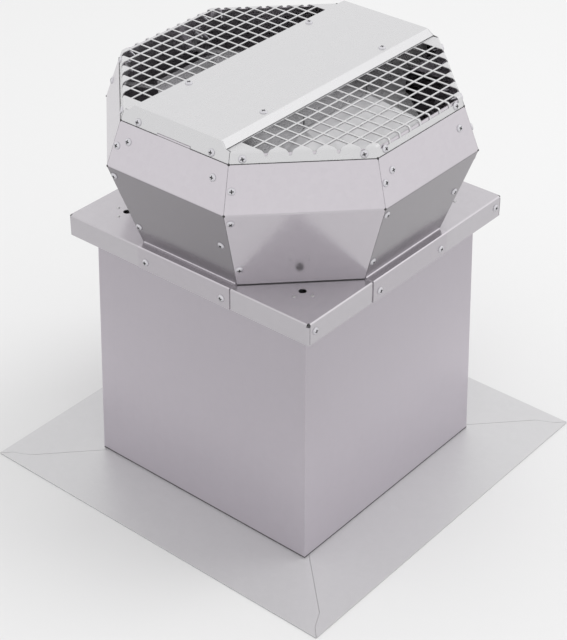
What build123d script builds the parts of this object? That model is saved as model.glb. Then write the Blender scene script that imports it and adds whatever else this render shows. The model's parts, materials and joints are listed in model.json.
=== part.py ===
"""Roof exhaust fan with vertical discharge, standing on a square roof curb.

Millimetres, +Z up. The origin is the middle of the curb's foot, on the roof.
The front is the -Y side, and turns are counted anticlockwise from it.
"""
import os
from math import ceil, cos, floor, radians, sin, sqrt, tan

from build123d import *

os.makedirs("parts", exist_ok=True)

# Sheet thicknesses
curb_sheet = 1.5
base_sheet = 1.5
panel_sheet = 1.2
grille_sheet = 1.0
cover_sheet = 1.0
bridge_sheet = 2.0
guard_sheet = 1.2
cone_sheet = 1.5
impeller_sheet = 1.5

# Small gaps between parts that lie against each other
lay_gap = 0.1
seam_gap = 0.5

# Base plate: a square tray, turned down at the rim
base_half = 217.5
rim_height = 32.6
rim_fold = 1.6
base_hole_inset = 57.5
base_hole_radius = 5.5
rim_relief = 3.8
rim_seam_width = 0.8
rim_seam_inset = 2.2

# Roof curb: tapered walls with a flange on the roof and a return under the fan
curb_height = 410.5
curb_rim_gap = 27.8
curb_taper = 9.3
curb_flange_width = 112.8
curb_return_width = 44.0
flange_lap = 9.5
flange_lap_end = 13.0
flange_seam = 0.8
lap_jog_start = 0.76
lap_jog_end = 0.88

# Seal between the curb and the fan's base plate
seal_thickness = 5.0
seal_width = 16.0
seal_edge = 3.0

# Octagonal casing: how far its sides stand in from the rim, flare and lean, heights above the base plate
foot_inset = 13.0
waist_flare = 43.4
top_lean = 21.1
waist_rise = 130.6
top_rise = 192.6
collar_rise = 204.0
corner_foot_gap = 1.4
panel_lap_width = 14.0
panel_lap_end = 8.0
notch_radius = 1.9
waist_fold = 1.4
flap_fold = 1.2
top_fold = 0.7
flap_inset = 1.70667
tongue_half = 29.0
tongue_rise = 3.0
collar_step = 0.4

# Grilles: punched sheet with square holes
grille_rise = 207.3
grille_inner_drop = 30.0
grille_fold = 1.8
hole_pitch = 21.5
hole_size = 18.6
web_inset = 0.5
hole_depth = 6.5
end_clearance = 3.0
slit_y = 67.0
slit_width = 3.0
slit_height = 17.0
slit_middle = -19.0

# Top cover: bridges the casing from front to back
cover_rise = 217.0
cover_edge_inset = 9.94364
cover_edge_width = 9.0
cover_corner_gap = 0.4
cover_end_leg = 4.0
cover_screw_inset = 10.0
cover_screw_y = 125.5

# Motor bridge: a channel under the cover, which carries the motor
bridge_rise = 176.0
bridge_inset = 2.3
bridge_end_inset = 20.8
bridge_lip = 26.0
bridge_end_drop = 17.0

# Rain guards: folded sheets that shed water to the casing's sides
guard_slope = 0.21
guard_wing_slope = 0.36
guard_hip_splay = 0.17
guard_side_inset = 31.8
guard_corner_inset = 73.74364
guard_wing_inset = 66.8
guard_lip_height = 22.0
guard_arm_y = 73.5
guard_arm_width = 12.0
guard_arm_start = 150.0
guard_arm_rise = 178.0

# Inlet cone
cone_flange_radius = 162.0
cone_mouth_radius = 138.0
cone_throat_radius = 94.0
cone_height = 30.0

# Impeller: backward curved blades between a shroud and a back plate
impeller_radius = 155.0
shroud_eye_gap = 3.0
shroud_rise = 20.0
shroud_height = 28.0
back_plate_rise = 124.0
blade_count = 7
blade_inner_radius = 106.0
blade_outer_radius = 152.0
blade_sweep = 46.0
blade_arc_radius = 95.0
blade_sheet = 2.0

# External rotor motor, hanging from the bridge
stator_flange_radius = 62.0
stator_flange_height = 9.0
stator_radius = 46.0
stator_height = 82.0
rotor_air_gap = 1.0
rotor_wall = 20.0
rotor_top_gap = 6.0
rotor_floor = 9.0
rotor_ring_radius = 84.0
rotor_ring_height = 4.0
shaft_radius = 5.0
shaft_running_gap = 0.03
press_gap = 0.02
bearing_radius = 13.0
bearing_width = 8.0
bearing_inset = 4.0
boss_radius = 12.0

# Terminal box on the bridge
terminal_length = 96.0
terminal_width = 66.0
terminal_height = 28.0
terminal_wall = 2.5
terminal_lid_height = 4.0
terminal_y = 128.0
gland_radius = 10.0
gland_length = 18.0
gland_bore_radius = 5.0

# Bolts of the motor and of the impeller: hexagon heads
bolt_head_radius = 7.0
bolt_head_height = 5.0
motor_bolt_circle = 46.0
motor_bolt_count = 4
rotor_bolt_radius = 4.5
rotor_bolt_height = 3.0
rotor_bolt_circle = 76.0
rotor_bolt_count = 6

# Pan head screws: size of the heads, places over the base plate and along each side
screw_head_radius = 4.8
screw_crown_radius = 3.2
screw_head_height = 2.6
seam_screw_inset = 7.0
seam_screw_rises = (30.0, 117.0, 160.5)
middle_screw_along = 79.5
middle_screw_rise = 70.0
hanger_screw_along = 73.5
hanger_screw_rise = 170.5
collar_screw_along = 76.5
collar_screw_rise = 198.5
cover_end_screw_along = 63.5
flap_screw_along = 69.0
flap_screw_drop = 20.0
corner_screw_inset = 13.5
corner_screw_drop = 15.0

# Derived distances from the axis
base_hole_pitch = 2 * (base_half - base_hole_inset)
curb_top_half = base_half - curb_rim_gap
curb_foot_half = curb_top_half + curb_taper
curb_flange_half = curb_foot_half + curb_flange_width
foot_flat = base_half - foot_inset
waist_flat = foot_flat + waist_flare
top_flat = waist_flat - top_lean
bridge_half_length = top_flat - bridge_end_inset
guard_reach = top_flat - guard_side_inset
guard_diagonal = top_flat * sqrt(2) - guard_corner_inset
guard_wing_half = top_flat - guard_wing_inset

# Derived heights and slopes
base_top = curb_height + seal_thickness + base_sheet
eighth = 45.0
half_eighth = eighth / 2
octagon_ratio = tan(radians(half_eighth))
flap_half = foot_flat * octagon_ratio - flap_inset
cover_foot_half = top_flat * octagon_ratio - cover_edge_inset
cover_half = cover_foot_half - cover_edge_width
bridge_half = cover_foot_half - bridge_inset
first_web_x = cover_foot_half + web_inset
lower_slope = (waist_flat - foot_flat) / waist_rise
upper_slope = (waist_flat - top_flat) / (top_rise - waist_rise)
upper_skew = sqrt(1 + upper_slope**2)


def upper_radius(rise):
    """Distance of the casing's upper face from the axis at a height over the base plate."""
    return top_flat - upper_slope * (rise - top_rise)


collar_inset = (grille_sheet + 2 * lay_gap) * upper_skew + collar_step
flange_inset = collar_inset - (grille_sheet + lay_gap) * upper_skew
grille_flat = upper_radius(grille_rise) - flange_inset
hole_columns = ceil((grille_flat - first_web_x) / hole_pitch)
hole_diagonal_steps = floor((grille_flat * sqrt(2) - first_web_x) / hole_pitch) - 1
guard_edge_x = bridge_half + lay_gap
grille_edge_x = guard_edge_x + guard_sheet + lay_gap
lap_reach = panel_lap_width / cos(radians(half_eighth)) + 2 * seam_gap
bridge_end_half = upper_radius(bridge_rise) * octagon_ratio - lap_reach


def outward(turn):
    """Direction from the axis through the middle of the side at this turn."""
    return Vector(sin(radians(turn)), -cos(radians(turn)), 0)


def sideways(turn):
    """Anticlockwise direction along the side at this turn."""
    return Vector(cos(radians(turn)), sin(radians(turn)), 0)


def section_plane(turn):
    """Plane through the axis: x runs outward, y up from the base plate."""
    return Plane(origin=(0, 0, base_top), x_dir=outward(turn), z_dir=-sideways(turn))


def mitre_plane(turn, shift):
    """Upright plane through the axis towards this turn, moved anticlockwise by shift."""
    return Plane(origin=sideways(turn) * shift, z_dir=sideways(turn))


def inset(points, depth):
    """The open outline moved to its left by depth, with sharp corners."""
    lines = []
    for (x0, y0), (x1, y1) in zip(points, points[1:]):
        length = sqrt((x1 - x0) ** 2 + (y1 - y0) ** 2)
        across = (-(y1 - y0) / length * depth, (x1 - x0) / length * depth)
        lines.append(((x0 + across[0], y0 + across[1]), (x1 - x0, y1 - y0)))
    moved = [lines[0][0]]
    for (p, d), (q, e) in zip(lines, lines[1:]):
        cross = d[0] * e[1] - d[1] * e[0]
        along = ((q[0] - p[0]) * e[1] - (q[1] - p[1]) * e[0]) / cross
        moved.append((p[0] + d[0] * along, p[1] + d[1] * along))
    last, direction = lines[-1]
    moved.append((last[0] + direction[0], last[1] + direction[1]))
    return moved


def sheet_outline(points, depth, start=0.0):
    """Closed outline of a folded sheet along the points, with its thickness on the left."""
    first = inset(points, start) if start else list(points)
    return first + inset(points, start + depth)[::-1]


def ease_fold(sketch, corner, reach):
    """Bevels the sketch's vertex nearest to the given corner."""
    chamfer(sketch.vertices().sort_by_distance((*corner, 0))[0], reach)


def save(piece, label):
    """Labels the finished piece and writes its file."""
    piece.label = label
    export_step(piece, f"parts/{label}.step")


def curb_wall(label, turn):
    """One folded side of the curb: flange on the roof, leaning wall, return at the top."""
    ground = Plane.XY.rotated((0, 0, turn))
    foot, edge = curb_foot_half, curb_flange_half
    jog_out = foot + lap_jog_start * (edge - foot)
    jog_in = foot + lap_jog_end * (edge - foot)
    flange = [
        (foot - curb_sheet, -(foot - curb_sheet)),
        (foot, -foot),
        (foot, -foot + flange_lap),
        (jog_out, -jog_out + flange_lap_end),
        (jog_in, -jog_in),
        (edge, -edge),
        (-edge + flange_seam, -edge),
        (-jog_in + flange_seam, -jog_in),
        (-jog_out + flange_lap_end + flange_seam, -jog_out),
        (-foot + flange_lap + flange_seam, -foot),
        (-(foot - curb_sheet), -(foot - curb_sheet)),
    ]
    with BuildPart() as wall:
        with BuildSketch(ground):
            with BuildLine():
                Polyline(*flange, close=True)
            make_face()
        extrude(amount=curb_sheet)
        for half, rise in ((curb_foot_half, 0), (curb_top_half, curb_height)):
            inner = half - curb_sheet
            with BuildSketch(ground.offset(rise)):
                with BuildLine():
                    Polyline((-half, -half), (half, -half), (inner, -inner), (-inner, -inner), close=True)
                make_face()
        loft(ruled=True)
        top, back = curb_top_half, curb_top_half - curb_return_width
        with BuildSketch(ground.offset(curb_height - curb_sheet)):
            with BuildLine():
                Polyline((-top, -top), (top, -top), (back, -back), (-back, -back), close=True)
            make_face()
            with GridLocations(base_hole_pitch, base_hole_pitch, 2, 2):
                Circle(base_hole_radius, mode=Mode.SUBTRACT)
        extrude(amount=curb_sheet)
    save(wall.part, label)


for name, turn in (("front", 0), ("right", 90), ("back", 180), ("left", 270)):
    curb_wall(f"curb_wall_{name}", turn)

# Foam seal on the curb's return, under the base plate
with BuildPart() as curb_seal:
    seal_half = curb_top_half - seal_edge
    with BuildSketch(Plane.XY.offset(curb_height)):
        Rectangle(2 * seal_half, 2 * seal_half)
        Rectangle(2 * (seal_half - seal_width), 2 * (seal_half - seal_width), mode=Mode.SUBTRACT)
    extrude(amount=seal_thickness)
save(curb_seal.part, "curb_seal")


def rim_block(half, top, fold):
    """Square block down to the rim's lower edge, bevelled at its upper and upright edges."""
    with BuildPart() as block:
        with BuildSketch(Plane.XY.offset(base_top - rim_height)):
            Rectangle(2 * half, 2 * half)
        extrude(amount=rim_height - base_top + top)
        chamfer(block.edges().filter_by(Axis.Z) + block.faces().sort_by(Axis.Z)[-1].edges(), fold)
    return block.part


# Base plate with its turned-down rim, corner holes and corner seams
with BuildPart() as base_plate:
    add(rim_block(base_half, base_top, rim_fold))
    add(rim_block(base_half - base_sheet, base_top - base_sheet, rim_fold / 2), mode=Mode.SUBTRACT)
    with BuildSketch(Plane.XY.offset(base_top)):
        Circle(cone_mouth_radius + lay_gap)
        with GridLocations(base_hole_pitch, base_hole_pitch, 2, 2):
            Circle(base_hole_radius)
        with GridLocations(2 * base_half, 2 * base_half, 2, 2):
            Rectangle(2 * rim_relief, 2 * rim_relief)
    extrude(amount=-3 * base_sheet, mode=Mode.SUBTRACT)
    seam_y = base_half - rim_seam_inset - rim_seam_width / 2
    with BuildSketch(Plane.XY.offset(base_top - rim_height)):
        with GridLocations(2 * base_half, 2 * seam_y, 2, 2):
            Rectangle(4 * base_sheet, rim_seam_width)
    extrude(amount=rim_height - base_sheet, mode=Mode.SUBTRACT)
save(base_plate.part, "base_plate")


def casing_points(first_rise):
    """Outer outline of a casing panel: lower face, waist, upper face, collar."""
    start = (foot_flat + lower_slope * first_rise, first_rise)
    collar_foot = upper_radius(top_rise) - collar_inset
    collar_top = upper_radius(collar_rise) - collar_inset
    return [start, (waist_flat, waist_rise), (top_flat, top_rise), (collar_foot, top_rise + lay_gap),
            (collar_top, collar_rise)]


def casing_panel(label, turn):
    """One folded panel of the octagon, with the lap behind its anticlockwise neighbour."""
    is_side = turn % 90 == 0
    has_tongue = turn % 180 == 0
    points = casing_points(0 if is_side else corner_foot_gap)
    right, left = turn + half_eighth, turn - half_eighth
    lap_top = top_rise - panel_lap_end
    lap_points = casing_points(corner_foot_gap)[:2] + [(upper_radius(lap_top), lap_top)]
    with BuildPart() as lap:
        with BuildSketch(section_plane(turn + eighth)):
            with BuildLine():
                Polyline(*sheet_outline(lap_points, panel_sheet, panel_sheet), close=True)
            make_face()
        extrude(amount=waist_flat, both=True)
        split(bisect_by=mitre_plane(right, -panel_sheet), keep=Keep.TOP)
        split(bisect_by=mitre_plane(right, panel_lap_width), keep=Keep.BOTTOM)
    with BuildPart() as panel:
        with BuildSketch(section_plane(turn)) as profile:
            with BuildLine():
                Polyline(*sheet_outline(points, panel_sheet), close=True)
            make_face()
            ease_fold(profile, points[1], waist_fold)
            ease_fold(profile, points[2], top_fold)
        extrude(amount=waist_flat, both=True)
        split(bisect_by=mitre_plane(right, -seam_gap / 2), keep=Keep.BOTTOM)
        split(bisect_by=mitre_plane(left, seam_gap / 2), keep=Keep.TOP)
        if is_side:
            edge = base_half + lay_gap
            with BuildSketch(section_plane(turn)) as flap:
                with BuildLine():
                    Polyline((foot_flat - panel_sheet, 0), (edge, 0), (edge, -rim_height),
                             (edge + panel_sheet, -rim_height), (edge + panel_sheet, panel_sheet),
                             (foot_flat - panel_sheet, panel_sheet), close=True)
                make_face()
                ease_fold(flap, (edge + panel_sheet, panel_sheet), flap_fold)
            extrude(amount=flap_half, both=True)
        if has_tongue:
            tongue_foot, tongue_top = top_rise - panel_sheet, top_rise + tongue_rise - seam_gap
            tongue = [(upper_radius(tongue_foot), tongue_foot), (upper_radius(tongue_top), tongue_top)]
            with BuildSketch(section_plane(turn)):
                with BuildLine():
                    Polyline(*sheet_outline(tongue, panel_sheet), close=True)
                make_face()
            extrude(amount=tongue_half - seam_gap, both=True)
        for corner in (left, right):
            for flat, rise in ((waist_flat, waist_rise), (top_flat, top_rise)):
                spot = outward(corner) * (flat / cos(radians(half_eighth))) + Vector(0, 0, base_top + rise)
                with BuildSketch(Plane(origin=spot, z_dir=outward(corner)).offset(-2 * notch_radius)):
                    RegularPolygon(notch_radius, 8)
                extrude(amount=4 * notch_radius, mode=Mode.SUBTRACT)
        add(lap.part)
    save(panel.part, label)


for step, name in enumerate(("front", "front_right", "right", "back_right",
                             "back", "back_left", "left", "front_left")):
    casing_panel(f"casing_panel_{name}", step * eighth)


def grille_hole_places():
    """Centres of the square holes: rows and columns up to the slanting corners."""
    for column in range(hole_columns):
        for row in range(min(hole_diagonal_steps, hole_diagonal_steps + 1 - column)):
            x = first_web_x + (column + 0.5) * hole_pitch
            y = (row + 0.5) * hole_pitch
            yield (x, y)
            yield (x, -y)


def grille_block(foot, top, shrink, fold):
    """Octagonal block under the grilles' surface, bevelled along its upper edges."""
    with BuildPart() as block:
        for height in (foot, top):
            flat = upper_radius(height - base_top) - flange_inset - shrink
            with BuildSketch(Plane.XY.offset(height)):
                RegularPolygon(flat, 8, major_radius=False, rotation=half_eighth)
        loft(ruled=True)
        chamfer(block.faces().sort_by(Axis.Z)[-1].edges(), fold)
    return block.part


def grille(label, turn):
    """A punched grille, folded down at its three outer sides and along the bridge."""
    deck = Plane.XY.rotated((0, 0, turn))
    top = base_top + grille_rise
    foot = base_top + top_rise + 2 * lay_gap
    end_y = grille_flat - end_clearance
    corner_y = grille_edge_x / octagon_ratio
    with BuildPart() as panel:
        add(grille_block(foot, top, 0, grille_fold))
        inner_fold = grille_fold - grille_sheet / 2
        shrink = grille_sheet * upper_skew
        add(grille_block(foot - grille_sheet, top - grille_sheet, shrink, inner_fold), mode=Mode.SUBTRACT)
        split(bisect_by=Plane(origin=deck.x_dir * grille_edge_x, z_dir=deck.x_dir), keep=Keep.TOP)
        split(bisect_by=mitre_plane(turn + half_eighth, seam_gap / 2), keep=Keep.TOP)
        split(bisect_by=mitre_plane(turn + 180 - half_eighth, -seam_gap / 2), keep=Keep.BOTTOM)
        with BuildSketch(deck.offset(top - grille_sheet)):
            for side in (-1, 1):
                with BuildLine():
                    Polyline((grille_edge_x, side * corner_y), (grille_edge_x, side * end_y),
                             (end_y * octagon_ratio + seam_gap, side * end_y),
                             (grille_edge_x + seam_gap, side * corner_y), close=True)
                make_face()
        extrude(amount=grille_sheet)
        with BuildSketch(deck.offset(top)):
            with Locations(*grille_hole_places()):
                Rectangle(hole_size, hole_size)
        extrude(amount=-hole_depth, mode=Mode.SUBTRACT)
        flange_corner = deck.x_dir * grille_edge_x + deck.z_dir * top
        with BuildSketch(Plane(origin=flange_corner, x_dir=deck.y_dir, z_dir=deck.x_dir)):
            Rectangle(2 * bridge_half_length, grille_inner_drop, align=(Align.CENTER, Align.MAX))
            with Locations((-slit_y, slit_middle), (slit_y, slit_middle)):
                Rectangle(slit_width, slit_height, mode=Mode.SUBTRACT)
        extrude(amount=grille_sheet)
    save(panel.part, label)


grille("grille_right", 0)
grille("grille_left", 180)

# Top cover: a flat strip with slanting long edges and folded ends
cover_foot_rise = grille_rise + lay_gap + cover_sheet
cover_points = [(cover_foot_half, cover_foot_rise), (cover_half, cover_rise),
                (-cover_half, cover_rise), (-cover_foot_half, cover_foot_rise)]


def cover_end(turn):
    """Folded end of the cover, lying on the casing's collar and notched for the panel's tongue."""
    foot_rise = top_rise + 2 * lay_gap
    fold = upper_radius(cover_rise) - flange_inset
    profile = [(upper_radius(foot_rise) - flange_inset, foot_rise), (fold, cover_rise),
               (fold - cover_end_leg, cover_rise)]
    foot_half = (upper_radius(foot_rise) - flange_inset) * octagon_ratio - seam_gap
    shoulder_half = (upper_radius(grille_rise) - flange_inset) * octagon_ratio - seam_gap
    notch_rise = top_rise + tongue_rise
    outline = [(tongue_half, notch_rise), (tongue_half, foot_rise), (foot_half, foot_rise),
               (shoulder_half, grille_rise + lay_gap), *cover_points,
               (-shoulder_half, grille_rise + lay_gap), (-foot_half, foot_rise),
               (-tongue_half, foot_rise), (-tongue_half, notch_rise)]
    with BuildPart() as end:
        with BuildSketch(section_plane(turn)):
            with BuildLine():
                Polyline(*sheet_outline(profile, cover_sheet), close=True)
            make_face()
        extrude(amount=waist_flat, both=True)
        with BuildSketch(Plane(origin=(0, 0, base_top), x_dir=sideways(turn), z_dir=outward(turn))):
            with BuildLine():
                Polyline(*outline, close=True)
            make_face()
        extrude(amount=waist_flat, mode=Mode.INTERSECT)
    return end.part


with BuildPart() as top_cover:
    with BuildSketch(section_plane(90)):
        with BuildLine():
            Polyline(*sheet_outline(cover_points, cover_sheet), close=True)
        make_face()
    extrude(amount=top_flat, both=True)
    for turn in (0, 180):
        fold = outward(turn) * (upper_radius(cover_rise) - flange_inset)
        end_lean = outward(turn) + Vector(0, 0, upper_slope)
        end_face = Plane(origin=fold + Vector(0, 0, base_top + cover_rise), z_dir=end_lean)
        split(bisect_by=end_face.offset(-cover_sheet - cover_corner_gap), keep=Keep.BOTTOM)
    for turn in (0, 180):
        add(cover_end(turn))
save(top_cover.part, "top_cover")

# Motor bridge: channel under the cover, with lips below its top and ends on the front and back panels
under_cover = inset(cover_points, cover_sheet + lay_gap)
strip_slope = (cover_rise - cover_foot_rise) / (cover_foot_half - cover_half)
shoulder_rise = under_cover[1][1] - strip_slope * (bridge_half - under_cover[1][0])
bridge_floor = bridge_rise - bridge_sheet
right_wall = [(bridge_half, bridge_floor), (bridge_half, shoulder_rise), under_cover[1],
              (under_cover[1][0] - bridge_lip, under_cover[1][1])]
bridge_points = [(-x, z) for x, z in right_wall[::-1]] + right_wall


def panel_inside(rise):
    """Distance from the axis to the inner face of the casing's upper faces, less a small gap."""
    return upper_radius(rise) - panel_sheet * upper_skew - lay_gap


with BuildPart() as motor_bridge:
    with BuildSketch(section_plane(90)):
        with BuildLine():
            Polyline(*sheet_outline(bridge_points, bridge_sheet), close=True)
        make_face()
    extrude(amount=bridge_half_length, both=True)
    for turn in (0, 180):
        end_foot = bridge_floor - bridge_end_drop
        end_points = [(panel_inside(end_foot), end_foot), (panel_inside(bridge_rise), bridge_rise),
                      (bridge_half_length - bridge_sheet, bridge_rise)]
        with BuildSketch(section_plane(turn)):
            with BuildLine():
                Polyline(*sheet_outline(end_points, bridge_sheet), close=True)
            make_face()
        extrude(amount=bridge_end_half, both=True)
    with BuildSketch(Plane.XY.offset(base_top + bridge_floor)):
        Circle(bearing_radius)
    extrude(amount=bridge_sheet, mode=Mode.SUBTRACT)
    with BuildSketch(section_plane(0)):
        with Locations((-slit_y, grille_rise + slit_middle), (slit_y, grille_rise + slit_middle)):
            Rectangle(slit_width, slit_height)
    extrude(amount=bridge_half + seam_gap, both=True, mode=Mode.SUBTRACT)
save(motor_bridge.part, "motor_bridge")


def guard_height(x):
    """Height of a rain guard's middle panel over the base plate at this distance from the axis."""
    return bridge_rise - guard_slope * (x - guard_edge_x)


def slanted_sheet(plane, outline, top_plane):
    """Upright prism over the outline, cut down to a sheet under the slanting plane."""
    with BuildPart() as sheet:
        with BuildSketch(plane.offset(base_top)):
            with BuildLine():
                Polyline(*outline, close=True)
            make_face()
        extrude(amount=cover_rise)
        split(bisect_by=top_plane, keep=Keep.BOTTOM)
        split(bisect_by=top_plane.offset(-guard_sheet), keep=Keep.TOP)
    return sheet.part


def rain_guard(label, turn):
    """A folded guard: lip and skirts on the bridge, sloping middle, two wings, two arms to the casing."""
    deck = Plane.XY.rotated((0, 0, turn))
    slope, splay, fall = guard_slope, guard_hip_splay, guard_wing_slope
    hip_x = (guard_diagonal - slit_y + splay * guard_edge_x) / (1 + splay)
    hip = (hip_x, guard_diagonal - hip_x)
    tip = (guard_reach, guard_diagonal - guard_reach)
    inner = (guard_edge_x, slit_y)
    middle = [inner, hip, tip, (tip[0], -tip[1]), (hip[0], -hip[1]), (inner[0], -inner[1])]
    wing = [inner, hip, (guard_diagonal - guard_wing_half, guard_wing_half), (guard_edge_x, guard_wing_half)]
    skirt_top = guard_lip_height - guard_sheet
    skirt_y = slit_y + slit_width / 2
    skirt_drop = fall * (guard_wing_half - slit_y)
    skirt = [(skirt_y, skirt_top), (skirt_y, -guard_sheet), (guard_wing_half, -skirt_drop),
             (guard_wing_half, skirt_top)]
    low_skew = guard_sheet * sqrt(1 + slope**2)
    wall_base = panel_inside(0) + upper_slope * (low_skew - guard_height(0))
    arm_corner = wall_base / (1 - upper_slope * slope)
    arm = [(guard_arm_start, guard_height(guard_arm_start) - low_skew),
           (arm_corner, guard_height(arm_corner) - low_skew),
           (panel_inside(guard_arm_rise), guard_arm_rise)]
    ridge = Vector(0, 0, base_top + bridge_rise)
    with BuildPart() as guard:
        top_plane = Plane(origin=deck.x_dir * guard_edge_x + ridge, z_dir=deck.x_dir * slope + deck.z_dir)
        add(slanted_sheet(deck, middle, top_plane))
        for side in (-1, 1):
            outline = [(x, side * y) for x, y in wing]
            corner = deck.x_dir * guard_edge_x + deck.y_dir * side * slit_y + ridge
            tilt = deck.x_dir * (slope - splay * fall) + deck.y_dir * side * fall + deck.z_dir
            add(slanted_sheet(deck, outline, Plane(origin=corner, z_dir=tilt)))
            arm_place = deck.y_dir * (side * guard_arm_y) + Vector(0, 0, base_top)
            with BuildSketch(Plane(origin=arm_place, x_dir=deck.x_dir, z_dir=-deck.y_dir)):
                with BuildLine():
                    Polyline(*sheet_outline(arm, guard_sheet), close=True)
                make_face()
            extrude(amount=guard_arm_width / 2, both=True)
        lip_plane = Plane(origin=deck.x_dir * guard_edge_x + ridge, x_dir=deck.y_dir, z_dir=deck.x_dir)
        with BuildSketch(lip_plane):
            with Locations((0, -guard_sheet)):
                Rectangle(2 * slit_y - slit_width, guard_lip_height, align=(Align.CENTER, Align.MIN))
            for side in (-1, 1):
                with BuildLine():
                    Polyline(*[(side * y, z) for y, z in skirt], close=True)
                make_face()
        extrude(amount=guard_sheet)
    save(guard.part, label)


rain_guard("rain_guard_right", 0)
rain_guard("rain_guard_left", 180)

# Inlet cone: a bell mouth that leads the air from the curb into the impeller's eye
with BuildPart() as inlet_cone:
    with BuildSketch(section_plane(90)):
        with BuildLine():
            Line((cone_flange_radius, 0), (cone_mouth_radius, 0))
            EllipticalCenterArc((cone_mouth_radius, cone_height), cone_mouth_radius - cone_throat_radius,
                                cone_height, start_angle=180, arc_size=90)
            Line((cone_throat_radius, cone_height), (cone_throat_radius + cone_sheet, cone_height))
            EllipticalCenterArc((cone_mouth_radius, cone_height),
                                cone_mouth_radius - cone_throat_radius - cone_sheet,
                                cone_height - cone_sheet, start_angle=180, arc_size=90)
            Polyline((cone_mouth_radius, cone_sheet), (cone_flange_radius, cone_sheet),
                     (cone_flange_radius, 0))
        make_face()
    revolve(axis=Axis.Z)
save(inlet_cone.part, "inlet_cone")

# Motor heights over the base plate, from the bridge downwards
stator_top = bridge_floor
stator_neck = stator_top - stator_flange_height
rotor_top = stator_neck - rotor_top_gap
stator_foot = stator_neck - stator_height
boss_top = stator_foot - rotor_air_gap
rotor_inner = stator_radius + rotor_air_gap
rotor_outer = rotor_inner + rotor_wall
rotor_foot = boss_top - rotor_floor - bearing_inset
ring_foot = back_plate_rise + impeller_sheet
ring_top = ring_foot + rotor_ring_height
shroud_eye = cone_throat_radius + cone_sheet + shroud_eye_gap
trim_radius = impeller_radius + cone_height
trim_rise = shroud_rise + shroud_height - impeller_sheet / 2


def shroud_curve(depth):
    """Elliptical outline of the shroud's flow side, moved into its sheet by depth."""
    return EllipticalCenterArc((impeller_radius, shroud_rise), impeller_radius - shroud_eye - depth,
                               shroud_height - depth, start_angle=90, arc_size=90)


# Impeller, welded from back plate, blades and shroud
with BuildPart() as impeller:
    with BuildSketch(Plane.XY.offset(base_top + back_plate_rise)):
        for blade in range(blade_count):
            turn = blade * 360 / blade_count
            start = outward(turn) * blade_inner_radius
            end = outward(turn - blade_sweep) * blade_outer_radius
            with BuildLine(mode=Mode.PRIVATE) as camber:
                RadiusArc((start.X, start.Y), (end.X, end.Y), blade_arc_radius)
            trace(camber.line, blade_sheet)
    extrude(amount=shroud_rise - back_plate_rise)
    with BuildSketch(section_plane(90)):
        with BuildLine():
            shroud_curve(impeller_sheet / 2)
            Polyline((shroud_eye + impeller_sheet / 2, shroud_rise), (shroud_eye, 0), (trim_radius, 0),
                     (trim_radius, trim_rise), (impeller_radius, trim_rise))
        make_face()
    revolve(axis=Axis.Z, mode=Mode.SUBTRACT)
    with BuildSketch(section_plane(90)):
        with BuildLine():
            shroud_curve(0)
            Line((shroud_eye, shroud_rise), (shroud_eye + impeller_sheet, shroud_rise))
            shroud_curve(impeller_sheet)
            Line((impeller_radius, shroud_rise + shroud_height - impeller_sheet),
                 (impeller_radius, shroud_rise + shroud_height))
        make_face()
    revolve(axis=Axis.Z)
    with BuildSketch(Plane.XY.offset(base_top + back_plate_rise)):
        Circle(impeller_radius)
        Circle(rotor_outer + lay_gap, mode=Mode.SUBTRACT)
    extrude(amount=impeller_sheet)
save(impeller.part, "impeller")

# Stator: mounting flange, wound core and bearing tube in one potted piece
with BuildPart() as motor_stator:
    with BuildSketch(section_plane(90)):
        with BuildLine():
            Polyline((bearing_radius, stator_foot), (stator_radius, stator_foot),
                     (stator_radius, stator_neck), (stator_flange_radius, stator_neck),
                     (stator_flange_radius, stator_top), (bearing_radius, stator_top), close=True)
        make_face()
    revolve(axis=Axis.Z)
save(motor_stator.part, "motor_stator")

# Rotor bell: runs round the stator and carries the impeller on its ring
with BuildPart() as rotor_bell:
    with BuildSketch(section_plane(90)):
        with BuildLine():
            Polyline((shaft_radius + press_gap, rotor_foot), (rotor_outer, rotor_foot),
                     (rotor_outer, ring_foot), (rotor_ring_radius, ring_foot),
                     (rotor_ring_radius, ring_top), (rotor_outer, ring_top),
                     (rotor_outer, rotor_top), (rotor_inner, rotor_top),
                     (rotor_inner, rotor_foot + rotor_floor), (boss_radius, rotor_foot + rotor_floor),
                     (boss_radius, boss_top), (shaft_radius + press_gap, boss_top), close=True)
        make_face()
    revolve(axis=Axis.Z)
save(rotor_bell.part, "rotor_bell")

with BuildPart() as motor_shaft:
    with BuildSketch(Plane.XY.offset(base_top + rotor_foot)):
        Circle(shaft_radius)
    extrude(amount=stator_neck - rotor_foot)
save(motor_shaft.part, "motor_shaft")

upper_bearing_foot = stator_neck - bearing_inset - bearing_width
for name, foot in (("lower", stator_foot + bearing_inset), ("upper", upper_bearing_foot)):
    with BuildPart() as bearing:
        with BuildSketch(Plane.XY.offset(base_top + foot)):
            Circle(bearing_radius - press_gap)
            Circle(shaft_radius + shaft_running_gap, mode=Mode.SUBTRACT)
        extrude(amount=bearing_width)
    save(bearing.part, f"bearing_{name}")

# Terminal box with its lid and cable gland, on the bridge's floor
box_floor = base_top + bridge_rise
with BuildPart() as terminal_box:
    with BuildSketch(Plane.XY.offset(box_floor)):
        with Locations((0, terminal_y)):
            Rectangle(terminal_width, terminal_length)
    extrude(amount=terminal_height)
    offset(amount=-terminal_wall, openings=terminal_box.faces().sort_by(Axis.Z)[-1])
    with BuildSketch(Plane.XZ.offset(-(terminal_y - terminal_length / 2))):
        with Locations((0, box_floor + terminal_height / 2)):
            Circle(gland_radius - terminal_wall)
    extrude(amount=-2 * terminal_wall, mode=Mode.SUBTRACT)
save(terminal_box.part, "terminal_box")

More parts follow.
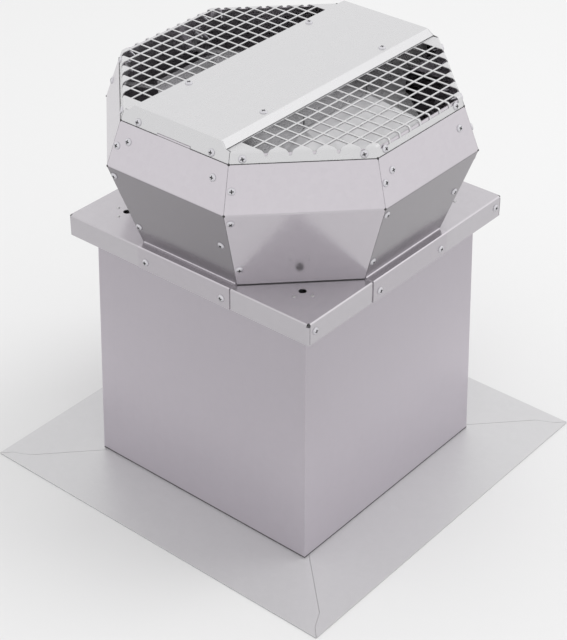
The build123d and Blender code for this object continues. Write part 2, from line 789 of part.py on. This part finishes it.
with BuildPart() as terminal_lid:
    with BuildSketch(Plane.XY.offset(box_floor + terminal_height)):
        with Locations((0, terminal_y)):
            Rectangle(terminal_width, terminal_length)
    extrude(amount=terminal_lid_height)
    chamfer(terminal_lid.faces().sort_by(Axis.Z)[-1].edges(), terminal_wall / 2)
save(terminal_lid.part, "terminal_lid")

with BuildPart() as cable_gland:
    with BuildSketch(Plane.XZ.offset(-(terminal_y - terminal_length / 2))):
        with Locations((0, box_floor + terminal_height / 2)):
            RegularPolygon(gland_radius, 6)
            Circle(gland_bore_radius, mode=Mode.SUBTRACT)
    extrude(amount=gland_length)
save(cable_gland.part, "cable_gland")


def face_place(turn, along, rise, inset_by=0.0):
    """Plane on the casing's outer face, its normal pointing outward."""
    if rise < waist_rise:
        radius, lean = foot_flat + lower_slope * rise, -lower_slope
    else:
        radius, lean = upper_radius(rise) - inset_by, upper_slope
    spot = outward(turn) * radius + sideways(turn) * along + Vector(0, 0, base_top + rise)
    return Plane(origin=spot, x_dir=sideways(turn), z_dir=outward(turn) + Vector(0, 0, lean))


def rim_place(turn, along, drop, radius):
    """Plane on the upright rim at a distance from the axis."""
    spot = outward(turn) * radius + sideways(turn) * along + Vector(0, 0, base_top - drop)
    return Plane(origin=spot, x_dir=sideways(turn), z_dir=outward(turn))


def seam_along(rise):
    """Place of a seam screw along its panel, beside the clockwise seam."""
    radius = foot_flat + lower_slope * rise if rise < waist_rise else upper_radius(rise)
    return seam_screw_inset - radius * octagon_ratio


def head_group(label, places, radius, crown, height, faces):
    """Heads of screws or bolts seated on the given planes, drawn in at the crown."""
    with BuildPart() as heads:
        for place in places:
            for level, reach in ((0, radius), (height, crown)):
                with BuildSketch(place.offset(level)):
                    RegularPolygon(reach, faces)
            loft(ruled=True)
    save(heads.part, label)


def screw_group(label, places):
    """Pan heads with eight faces."""
    head_group(label, places, screw_head_radius, screw_crown_radius, screw_head_height, 8)


def bolt_circle(radius, count, rise):
    """Level planes evenly spread on a circle round the axis."""
    turns = [(step + 0.5) * 360 / count for step in range(count)]
    return [Plane(origin=outward(turn) * radius + Vector(0, 0, base_top + rise)) for turn in turns]


head_group("motor_bolts", bolt_circle(motor_bolt_circle, motor_bolt_count, bridge_rise),
           bolt_head_radius, bolt_head_radius, bolt_head_height, 6)
head_group("impeller_bolts", bolt_circle(rotor_bolt_circle, rotor_bolt_count, ring_top),
           rotor_bolt_radius, rotor_bolt_radius, rotor_bolt_height, 6)

sides = (0, 90, 180, 270)
corners = tuple(turn + eighth for turn in sides)
seam_places = [face_place(turn, seam_along(rise), rise)
               for turn in sides + corners for rise in seam_screw_rises]
middle_places = [face_place(turn, middle_screw_along, middle_screw_rise) for turn in sides]
screw_group("panel_screws", seam_places + middle_places)
screw_group("bridge_screws", [face_place(turn, side * hanger_screw_along, hanger_screw_rise)
                              for turn in (0, 180) for side in (-1, 1)])
screw_group("guard_screws", [face_place(turn, side * hanger_screw_along, hanger_screw_rise)
                             for turn in (90, 270) for side in (-1, 1)])
screw_group("grille_screws", [face_place(turn, side * collar_screw_along, collar_screw_rise, flange_inset)
                              for turn in corners + (90, 270) for side in (-1, 1)])
screw_group("cover_end_screws",
            [face_place(turn, side * cover_end_screw_along, collar_screw_rise, flange_inset)
             for turn in (0, 180) for side in (-1, 1)])
cover_screw_x = cover_half - cover_screw_inset
screw_group("cover_screws", [Plane(origin=(x * cover_screw_x, y * cover_screw_y, base_top + cover_rise))
                             for x in (-1, 1) for y in (-1, 1)])
flap_face = base_half + lay_gap + panel_sheet
screw_group("flap_screws", [rim_place(turn, side * flap_screw_along, flap_screw_drop, flap_face)
                            for turn in sides for side in (-1, 1)])
corner_screw_along = base_half - corner_screw_inset
screw_group("corner_screws", [rim_place(turn, side * corner_screw_along, corner_screw_drop, base_half)
                              for turn in (90, 270) for side in (-1, 1)])
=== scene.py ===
"""Roof exhaust fan of galvanised sheet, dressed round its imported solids."""
import json
import math

import bmesh
import bpy
from mathutils import Matrix, Vector


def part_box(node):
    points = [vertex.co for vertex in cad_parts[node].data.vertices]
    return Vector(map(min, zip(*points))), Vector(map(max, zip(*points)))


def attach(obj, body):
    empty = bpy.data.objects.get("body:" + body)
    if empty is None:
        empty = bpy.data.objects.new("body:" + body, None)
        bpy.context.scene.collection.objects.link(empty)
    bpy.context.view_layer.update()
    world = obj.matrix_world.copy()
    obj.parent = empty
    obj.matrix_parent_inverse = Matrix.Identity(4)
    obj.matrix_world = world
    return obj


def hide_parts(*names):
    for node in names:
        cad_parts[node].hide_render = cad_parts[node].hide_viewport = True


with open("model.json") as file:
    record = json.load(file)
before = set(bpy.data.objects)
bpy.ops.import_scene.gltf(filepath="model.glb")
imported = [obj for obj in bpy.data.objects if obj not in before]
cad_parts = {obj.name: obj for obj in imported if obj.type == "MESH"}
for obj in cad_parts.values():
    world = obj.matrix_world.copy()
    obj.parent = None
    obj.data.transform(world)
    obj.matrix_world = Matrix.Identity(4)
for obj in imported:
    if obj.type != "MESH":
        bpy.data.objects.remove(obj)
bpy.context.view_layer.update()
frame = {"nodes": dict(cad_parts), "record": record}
solids = frame["nodes"]


class Value:
    """A shader socket that takes part in Python sums."""

    def __init__(self, finish, socket):
        self.finish, self.socket = finish, socket

    def sum(self, operation, first, second):
        return self.finish.node("ShaderNodeMath", {"operation": operation}, {0: first, 1: second})

    def __add__(self, other):
        return self.sum("ADD", self, other)

    def __rsub__(self, other):
        return self.sum("SUBTRACT", other, self)

    def __mul__(self, other):
        return self.sum("MULTIPLY", self, other)

    __radd__ = __add__


class Finish:
    """A node material for one of the fan's surfaces."""

    def __init__(self, name):
        self.material = bpy.data.materials.new(name)
        self.material.use_nodes = True
        self.tree = self.material.node_tree
        self.shader = self.tree.nodes["Principled BSDF"]
        self.place = self.node("ShaderNodeTexCoord", {}, {}, "Object")

    def node(self, kind, settings, inputs, output=0):
        made = self.tree.nodes.new(kind)
        for key, setting in settings.items():
            setattr(made, key, setting)
        for key, given in inputs.items():
            if isinstance(given, Value):
                self.tree.links.new(given.socket, made.inputs[key])
            else:
                made.inputs[key].default_value = given
        return Value(self, made.outputs[output])

    def noise(self, scale, detail=3.0, rough=0.5, stretch=(1, 1, 1)):
        spot = self.node("ShaderNodeMapping", {}, {"Vector": self.place, "Scale": stretch})
        return self.node("ShaderNodeTexNoise", {},
                         {"Vector": spot, "Scale": scale, "Detail": detail, "Roughness": rough})

    def ramp(self, value, low, high):
        return self.node("ShaderNodeMapRange", {"interpolation_type": "SMOOTHSTEP"},
                         {"Value": value, "From Min": low, "From Max": high})

    def tint(self, mask, dull, bright):
        return self.node("ShaderNodeMix", {"data_type": "RGBA"}, {0: mask, 6: (*dull, 1), 7: (*bright, 1)}, 2)

    def bump(self, height, distance, strength=1.0):
        return self.node("ShaderNodeBump", {}, {"Height": height, "Distance": distance, "Strength": strength})

    def set(self, **inputs):
        for key, given in inputs.items():
            socket = self.shader.inputs[key.replace("_", " ")]
            if isinstance(given, Value):
                self.tree.links.new(given.socket, socket)
            else:
                socket.default_value = given
        return self.material


# Heights between which the roof flange turns into the curb's wall, and the flange's own sheen
flange_top, wall_foot = 0.0015, 0.0018
flange_metallic, flange_roughness = 0.4, 0.06


def galvanised(name, dull, bright, roughness, grain, painted_shades=(), flat=None, metallic=0.82):
    """Hot-dip zinc with faint crystals, rolling streaks and waves.

    The shade bands are painted shade, darker bands as (low, high, soft, depth), and flat is the colour pair
    of a roof flange.
    """
    finish = Finish(name)
    cells = finish.node("ShaderNodeTexVoronoi", {"feature": "F1"},
                        {"Vector": finish.place, "Scale": 105.0, "Randomness": 1.0}, "Color")
    crystal = finish.node("ShaderNodeSeparateColor", {}, {0: cells}, "Red")
    clouds = finish.ramp(finish.noise(7.0, 3.0, 0.5), 0.25, 0.75)
    streaks = finish.noise(160.0, 2.0, 0.6, grain)
    specks = finish.noise(620.0, 2.0, 0.5)
    shade = crystal * 0.22 + clouds * 0.06 + streaks * 0.30 + specks * 0.42
    colour = finish.tint(shade, dull, bright)
    height = finish.node("ShaderNodeSeparateXYZ", {}, {0: finish.place}, "Z")
    rough = roughness - 0.03 + crystal * 0.03 + clouds * 0.01 + streaks * 0.03
    if flat:
        upright = finish.ramp(height, flange_top, wall_foot)
        colour = finish.node("ShaderNodeMix", {"data_type": "RGBA"},
                             {0: upright, 6: finish.tint(shade, *flat), 7: colour}, 2)
        rough = rough + (1 - upright) * flange_roughness
        metallic = upright * (metallic - flange_metallic) + flange_metallic
    # Each band multiplies the colour darker by its depth: painted shade by height
    for low, high, soft, depth in painted_shades:
        band = finish.ramp(height, low, low + soft) * (1 - finish.ramp(height, high - soft, high))
        colour = finish.node("ShaderNodeMix", {"data_type": "RGBA", "blend_type": "MULTIPLY"},
                             {0: band * depth, 6: colour, 7: (0, 0, 0, 1)}, 2)
    waves = finish.noise(4.5, 1.0, 0.4)
    fine = finish.bump(crystal * 0.3 + specks * 0.7, 0.00003, 0.07)
    wavy = finish.node("ShaderNodeBump", {},
                       {"Height": waves, "Distance": 0.00015, "Strength": 1.0, "Normal": fine})
    return finish.set(Base_Color=colour, Roughness=rough, Metallic=metallic, Normal=wavy)


def dark_moulding(name, dull, bright, roughness):
    """Moulded or painted surface with a fine grain."""
    finish = Finish(name)
    grain = finish.noise(900.0, 2.0, 0.6)
    clouds = finish.noise(14.0, 3.0, 0.5)
    colour = finish.tint(clouds * 0.7 + grain * 0.3, dull, bright)
    return finish.set(Base_Color=colour, Roughness=roughness - 0.06 + grain * 0.12,
                      Normal=finish.bump(grain, 0.00008, 0.5))


def plated(name, dull, bright, roughness):
    """Zinc plate on screws and bolts."""
    finish = Finish(name)
    clouds = finish.noise(260.0, 3.0, 0.6)
    colour = finish.tint(clouds, dull, bright)
    return finish.set(Base_Color=colour, Roughness=roughness - 0.08 + clouds * 0.16, Metallic=1.0,
                      Normal=finish.bump(clouds, 0.00003, 0.4))


# Colour pairs, rolling directions and bands of painted shade on the sheets
lilac = (0.567, 0.53, 0.577), (0.607, 0.567, 0.617)
grey = (0.557, 0.552, 0.565), (0.603, 0.597, 0.611)
casing = (0.54, 0.512, 0.545), (0.59, 0.56, 0.595)
pale = (0.582, 0.579, 0.588), (0.618, 0.615, 0.624)
guard = (0.62, 0.617, 0.628), (0.70, 0.697, 0.708)
base = (0.488, 0.469, 0.493), (0.535, 0.514, 0.54)
flange = (0.545, 0.541, 0.55), (0.595, 0.591, 0.60)
along_x, along_y, along_z = (0.03, 1, 1), (1, 0.03, 1), (1, 1, 0.03)
# Painted shade: a dark line at the foot of the curb wall, and a darker upper wall under the base plate's rim
foot_shade_line, wall_top_shade = (flange_top, 0.0044, 0.0006, 0.8), (0.05, 0.75, 0.30, 0.20)
# Painted shade under the casing's overhang: darker flaps and darker lower faces of the four sides
flap_shade, lower_face_shade = (0.36, 0.4168, 0.0004, 0.14), (0.4183, 0.5478, 0.0004, 0.52)

# Curb sheet: painted shade line at the wall's foot and painted shade on the wall's upper part under the rim
sheet_upright = galvanised("galvanised_upright", *lilac, 0.32, along_z, [foot_shade_line, wall_top_shade], flange)
sheet_inner = galvanised("galvanised_inner", *grey, 0.24, along_y)
sheet_corner = galvanised("galvanised_corner", *casing, 0.20, along_y)
# Copy of the casing zinc with painted shade on the flaps and lower faces of the four sides
sheet_side_shaded = galvanised("galvanised_side_shaded", *casing, 0.20, along_y, [flap_shade, lower_face_shade])
sheet_pale = galvanised("galvanised_pale", *pale, 0.26, along_y)
sheet_guard = galvanised("galvanised_guard", *guard, 0.24, along_y, metallic=0.7)
sheet_base = galvanised("galvanised_base", *base, 0.18, along_x)
screw_zinc = plated("screw_zinc", (0.50, 0.49, 0.52), (0.72, 0.71, 0.74), 0.32)
bolt_zinc = plated("bolt_zinc", (0.45, 0.45, 0.45), (0.62, 0.62, 0.62), 0.35)
bearing_steel = plated("bearing_steel", (0.48, 0.48, 0.48), (0.62, 0.62, 0.63), 0.22)
# Near-black painted shade for the inside of the screw recesses
recess_painted_shade = dark_moulding("recess_painted_shade", (0.03, 0.03, 0.03), (0.07, 0.07, 0.07), 0.6)
seal_foam = dark_moulding("seal_foam", (0.03, 0.03, 0.03), (0.06, 0.06, 0.06), 0.9)
rotor_black = dark_moulding("rotor_black", (0.02, 0.02, 0.022), (0.045, 0.045, 0.05), 0.45)
stator_grey = dark_moulding("stator_grey", (0.22, 0.225, 0.23), (0.34, 0.345, 0.35), 0.55)
box_plastic = dark_moulding("box_plastic", (0.12, 0.12, 0.125), (0.18, 0.18, 0.185), 0.5)
gland_plastic = dark_moulding("gland_plastic", (0.05, 0.05, 0.05), (0.09, 0.09, 0.09), 0.5)

slot_finishes = {
    "curb_galvanised": sheet_upright, "base_galvanised": sheet_base, "casing_galvanised": sheet_corner,
    "grille_galvanised": sheet_pale, "cover_galvanised": sheet_pale, "bridge_galvanised": sheet_inner,
    "guard_galvanised": sheet_guard, "cone_galvanised": sheet_inner, "impeller_galvanised": sheet_inner,
    "zinc_screw": screw_zinc, "zinc_bolt": bolt_zinc, "seal_foam": seal_foam, "rotor_black": rotor_black,
    "stator_grey": stator_grey, "shaft_steel": bearing_steel, "terminal_plastic": box_plastic,
    "gland_plastic": gland_plastic,
}
side_panels = ["casing_panel_" + side for side in ("front", "right", "back", "left")]
for part in frame["record"]["subparts"]:
    solid = solids[part["node"]]
    solid.data.materials.clear()
    # The four side panels take the copy of the casing zinc that carries painted shade
    finish = sheet_side_shaded if part["node"] in side_panels else slot_finishes[part["material_slot"]]
    solid.data.materials.append(finish)


def piece_from(bm, name, finish, body):
    """Makes the bmesh an object of the fan that rides on a body."""
    mesh = bpy.data.meshes.new(name)
    bm.to_mesh(mesh)
    bm.free()
    mesh.materials.append(finish)
    piece = bpy.data.objects.new(name, mesh)
    bpy.context.scene.collection.objects.link(piece)
    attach(piece, body)
    return piece


def head_seats(node):
    """Seat and axis of each head in a CAD group; the seat is the largest flat of a head."""
    bm = bmesh.new()
    bm.from_mesh(solids[node].data)
    bmesh.ops.remove_doubles(bm, verts=bm.verts, dist=1e-5)
    bm.normal_update()
    left, seats = set(bm.faces), []
    while left:
        island, edge = set(), [left.pop()]
        while edge:
            face = edge.pop()
            island.add(face)
            near = {f for e in face.edges for f in e.link_faces} - island
            edge.extend(near - set(edge))
        left -= island
        flats = [[f for f in island if f.normal.dot(face.normal) > 0.999] for face in island]
        flat = max(flats, key=lambda faces: sum(f.calc_area() for f in faces))
        area = sum(f.calc_area() for f in flat)
        seat = sum((f.calc_center_median() * f.calc_area() for f in flat), Vector()) / area
        middle = sum((f.calc_center_median() for f in island), Vector()) / len(island)
        axis = flat[0].normal.normalized()
        seats.append((seat, axis if axis.dot(middle - seat) > 0 else -axis))
    bm.free()
    return sorted(seats, key=lambda s: tuple(round(x, 4) for x in s[0]))


def screw_mesh():
    """A pan head screw with a cross recess and a tapping point, its seat at z = 0."""
    bm = bmesh.new()
    head = [(0.0, 2.56), (1.8, 2.5), (3.4, 2.2), (4.5, 1.5), (5.1, 0.75), (5.2, 0.0)]
    shank = [(2.1, 0.0), (2.1, -7.5), (1.5, -8.2), (1.5, -11.0), (0.0, -14.0)]
    verts = [bm.verts.new((r / 1000, 0, z / 1000)) for r, z in head + shank]
    rim = [bm.edges.new(pair) for pair in zip(verts, verts[1:])]
    bmesh.ops.spin(bm, geom=verts + rim, cent=(0, 0, 0), axis=(0, 0, 1), angle=math.tau, steps=20,
                   use_merge=True)
    bmesh.ops.remove_doubles(bm, verts=bm.verts, dist=1e-6)
    bmesh.ops.recalc_face_normals(bm, faces=bm.faces)
    mesh = bpy.data.meshes.new("screw_blank")
    bm.to_mesh(mesh)
    bm.free()
    blank = bpy.data.objects.new("screw_blank", mesh)
    cutter_bm = bmesh.new()
    for turn in (0, math.pi / 2):
        made = bmesh.ops.create_cube(cutter_bm, size=1.0)["verts"]
        bmesh.ops.scale(cutter_bm, vec=(0.0056, 0.0016, 0.0036), verts=made)
        bmesh.ops.rotate(cutter_bm, cent=(0, 0, 0), matrix=Matrix.Rotation(turn, 3, "Z"), verts=made)
        bmesh.ops.translate(cutter_bm, vec=(0, 0, 0.0028), verts=made)
    cutter_mesh = bpy.data.meshes.new("recess")
    cutter_bm.to_mesh(cutter_mesh)
    cutter_bm.free()
    cutter = bpy.data.objects.new("recess", cutter_mesh)
    for thing in (blank, cutter):
        bpy.context.scene.collection.objects.link(thing)
    cut = blank.modifiers.new("recess", "BOOLEAN")
    cut.object, cut.operation, cut.solver, cut.use_self = cutter, "DIFFERENCE", "EXACT", True
    bpy.context.view_layer.update()
    shaped = bpy.data.meshes.new_from_object(blank.evaluated_get(bpy.context.evaluated_depsgraph_get()))
    for thing in (blank, cutter):
        bpy.data.objects.remove(thing)
    # Faces inside the cross recess take the second slot, which paints the shade in the recess
    for face in shaped.polygons:
        reach = math.hypot(face.center.x, face.center.y)
        face.material_index = int(reach < 0.0029 and 0.0005 < face.center.z < 0.0021)
    return shaped


screw, recess_step = screw_mesh(), 2.4
for group in ("panel_screws", "bridge_screws", "guard_screws", "grille_screws", "cover_end_screws",
              "cover_screws", "flap_screws", "corner_screws"):
    bm = bmesh.new()
    for number, (seat, axis) in enumerate(head_seats(group)):
        first = len(bm.verts)
        bm.from_mesh(screw)
        bm.verts.ensure_lookup_table()
        turn = axis.to_track_quat("Z", "Y").to_matrix() @ Matrix.Rotation(number * recess_step, 3, "Z")
        bmesh.ops.transform(bm, matrix=Matrix.Translation(seat) @ turn.to_4x4(), verts=bm.verts[first:])
    piece = piece_from(bm, group + "_cross", screw_zinc, "housing")
    # Second slot: painted shade in the recesses
    piece.data.materials.append(recess_painted_shade)
    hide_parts(group)


def turned(x, y, z, turn):
    """A point of the front side, carried round the axis by a turn in degrees."""
    return Matrix.Rotation(math.radians(turn), 3, "Z") @ Vector((x, y, z))


# Bends at the foot of the four sides, where the lower face runs into the tab on the base plate
base_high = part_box("base_plate")[1]
tab_top = base_high.z + 0.0012
foot_y, foot_half, bend, lean = -0.2049, 0.0828, 0.0026, 0.332
bm = bmesh.new()
for turn in (0, 90, 180, 270):
    arc = [(foot_y - bend * (1 + lean) * (1 - math.sin(a)), tab_top + bend * (1 - math.cos(a)))
           for a in (math.radians(15 * k) for k in range(7))]
    section = [(foot_y, tab_top)] + arc
    section[-1] = (foot_y - bend * lean, tab_top + bend)
    ends = [[bm.verts.new(turned(x, y, z, turn)) for y, z in section] for x in (-foot_half, foot_half)]
    for k in range(len(section)):
        after = (k + 1) % len(section)
        bm.faces.new((ends[0][k], ends[0][after], ends[1][after], ends[1][k]))
    bm.faces.new(ends[0])
    bm.faces.new(ends[1])
bmesh.ops.recalc_face_normals(bm, faces=bm.faces)
piece_from(bm, "foot_bends", sheet_corner, "housing")

# Painted shade: dark spots in the notches at the corners of the casing and a dark line under its collar, and
# dark spots in the corners of the base plate
waist_reach, waist_rise = 0.2479, 0.1306
collar_reach, collar_rise, collar_shade_line = 0.2268, 0.1926, 0.0003
shade_spot, shade_spot_depth, shade_line_lift = 0.0016, 0.0011, 0.0002
base_shade_spot, base_shade_spot_reach, base_shade_spot_drop = 0.0019, 0.2152, 0.0022
to_corner = math.cos(math.pi / 8)
bm = bmesh.new()
for reach, rise in ((waist_reach, waist_rise), (collar_reach, collar_rise)):
    for corner in range(8):
        spot = turned(0, -reach / to_corner + shade_spot_depth, base_high.z + rise, 22.5 + 45 * corner)
        made = bmesh.ops.create_uvsphere(bm, u_segments=10, v_segments=6, radius=shade_spot)["verts"]
        bmesh.ops.translate(bm, vec=spot, verts=made)
# A thin dark line along each side under the collar: painted shadow of the flange's edge
shade_line_height = base_high.z + collar_rise + shade_line_lift
for side in range(8):
    ends = [turned(0, -collar_reach / to_corner, shade_line_height, 45 * (side + k) - 22.5) for k in (0, 1)]
    along = ends[1] - ends[0]
    aim = along.to_track_quat("Z", "Y").to_matrix().to_4x4()
    bmesh.ops.create_cone(bm, cap_ends=True, segments=8, radius1=collar_shade_line, radius2=collar_shade_line,
                          depth=along.length, matrix=Matrix.Translation(sum(ends, Vector()) / 2) @ aim)
for x in (-1, 1):
    for y in (-1, 1):
        made = bmesh.ops.create_uvsphere(bm, u_segments=10, v_segments=6, radius=base_shade_spot)["verts"]
        spot = Vector((x * base_shade_spot_reach, y * base_shade_spot_reach, base_high.z - base_shade_spot_drop))
        bmesh.ops.translate(bm, vec=spot, verts=made)
# The spots and line take the dark foam finish as painted shade
piece_from(bm, "corner_shade_spots", seal_foam, "housing")

# Small rivets beside the base plate's corner holes
hole_reach, rivet_step, rivet_radius, rivet_flatness = 0.16, 0.017, 0.0024, 0.45
bm = bmesh.new()
for x in (-1, 1):
    for y in (-1, 1):
        for dx, dy in ((rivet_step, 0.0), (0.0, rivet_step)):
            made = bmesh.ops.create_uvsphere(bm, u_segments=14, v_segments=8, radius=rivet_radius)["verts"]
            bmesh.ops.scale(bm, vec=(1, 1, rivet_flatness), verts=made)
            spot = Vector((x * (hole_reach + dx), y * (hole_reach + dy), base_high.z))
            bmesh.ops.translate(bm, vec=spot, verts=made)
piece_from(bm, "corner_rivets", bolt_zinc, "housing")

# Plain pale floor, studio light and camera
floor_finish = Finish("floor_white")
floor_finish.set(Base_Color=(0.70, 0.70, 0.70, 1), Roughness=0.9, Specular_IOR_Level=0.0)
bm = bmesh.new()
bmesh.ops.create_grid(bm, x_segments=1, y_segments=1, size=2.7)
bmesh.ops.translate(bm, vec=(0, 0, -0.0004), verts=bm.verts)
floor_mesh = bpy.data.meshes.new("floor")
bm.to_mesh(floor_mesh)
bm.free()
floor_mesh.materials.append(floor_finish.material)
floor = bpy.data.objects.new("floor", floor_mesh)
bpy.context.scene.collection.objects.link(floor)

world = bpy.data.worlds.new("studio")
world.use_nodes = True
bpy.context.scene.world = world
background = world.node_tree.nodes["Background"]
background.inputs["Color"].default_value = (1, 1, 1, 1)
background.inputs["Strength"].default_value = 1.08


def soft_lamp(name, place, target, size, power):
    """A square studio lamp turned to a target."""
    data = bpy.data.lights.new(name, "AREA")
    data.size, data.energy = size, power
    lamp = bpy.data.objects.new(name, data)
    lamp.location = place
    lamp.rotation_euler = (Vector(target) - Vector(place)).to_track_quat("-Z", "Y").to_euler()
    bpy.context.scene.collection.objects.link(lamp)
    return lamp


soft_lamp("side_panel", (2.2, 2.54, 2.8), (0, 0, 0.6), 2.4, 6.5)
soft_lamp("key", (1.1, 1.28, 3.9), (0, 0, 0.3), 1.4, 30.0).visible_glossy = False
soft_lamp("overhead", (0, 0, 3.9), (0, 0, 0.6), 3.0, 15.0).visible_glossy = False

camera_data = bpy.data.cameras.new("photo_view")
camera_data.sensor_width, camera_data.lens = 36.0, 98.29
camera = bpy.data.objects.new("photo_view", camera_data)
camera.location = (1.3756, -1.6495, 1.6614)
camera.rotation_euler = (math.radians(56.136), 0, math.radians(39.964))
bpy.context.scene.collection.objects.link(camera)
bpy.context.scene.camera = camera
bpy.context.scene.view_settings.view_transform = "Standard"
